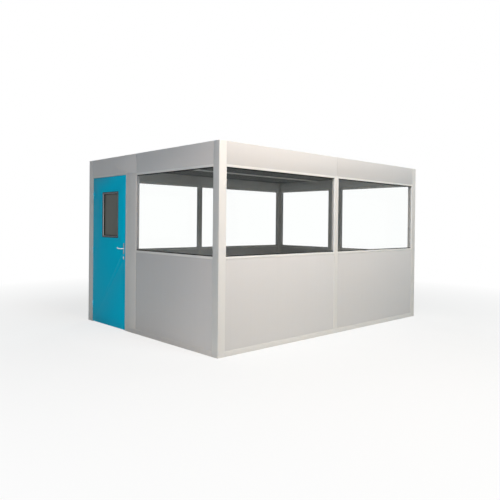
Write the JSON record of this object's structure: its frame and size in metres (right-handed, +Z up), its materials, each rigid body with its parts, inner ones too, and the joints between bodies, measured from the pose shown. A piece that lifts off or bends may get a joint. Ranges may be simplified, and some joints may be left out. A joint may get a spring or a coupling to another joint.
{
  "type": "workshop cabin",
  "caption": "Free-standing framed workshop cabin with panel walls, a band of windows all round, a flat roof and a hinged door with a small window and lever.",
  "frame": {"origin": "centre of the footprint on the ground", "axes": "+X along the front wall towards the end wall, +Y from the front wall to the back wall, +Z up. The front wall faces -Y and the door wall faces -X."},
  "size_m": [4.0465, 2.93, 2.3],
  "materials": {
    "frame": "satin off-white paint",
    "fascia": "satin off-white paint",
    "wall_panel": "satin light grey paint",
    "roof_panel": "matt light grey paint",
    "door_blue": "satin blue paint",
    "window_glass": "clear",
    "door_glass": "dim grey-brown",
    "door_trim": "satin grey paint",
    "seal": "matt black",
    "fittings": "brushed"
  },
  "bodies": {
    "cabin": {"post_front_left": "frame", "post_front_right": "frame", "post_back_left": "frame", "post_back_right": "frame", "post_front_mid": "frame", "post_back_mid": "frame", "filler_door_side": "frame", "filler_end": "frame", "base_rail_front": "frame", "base_rail_back": "frame", "base_rail_door": "frame", "base_rail_end": "frame", "lower_panels_front": "wall_panel", "lower_panels_back": "wall_panel", "lower_panel_door": "wall_panel", "lower_panels_end": "wall_panel", "sill_rails_front": "frame", "sill_rails_back": "frame", "sill_rail_door": "frame", "sill_rails_end": "frame", "glass_front": "window_glass", "glass_back": "window_glass", "glass_side": "window_glass", "glass_end": "window_glass", "head_rails_front": "frame", "head_rails_back": "frame", "head_rail_door": "frame", "head_rails_end": "frame", "fascia_front": "fascia", "fascia_back": "fascia", "fascia_side": "fascia", "fascia_end": "fascia", "roof_panel_front": "roof_panel", "roof_panel_mid": "roof_panel", "roof_panel_back": "roof_panel", "ceiling_strips": "frame", "door_frame": "frame", "door_hinges_fixed": "fittings"},
    "door": {"door_leaf": "door_blue", "door_window_frame": "door_trim", "door_glass": "door_glass", "door_hinges_moving": "fittings", "door_plates": "fittings", "door_lock_cylinder": "fittings"},
    "lever": {"door_lever": "fittings"}
  },
  "joints": [
    {"name": "door_hinge", "type": "hinge", "parent": "cabin", "child": "door", "pos_m": [-2.0085, 1.3325, 0], "axis": [0, 0, -1], "range_deg": [0, 110]},
    {"name": "lever_turn", "type": "hinge", "parent": "door", "child": "lever", "pos_m": [-2, 0.471, 1.075], "axis": [-1, 0, 0], "range_deg": [0, 40], "stiffness_Nm_per_rad": 1.5, "springref_deg": -20.05}
  ]
}
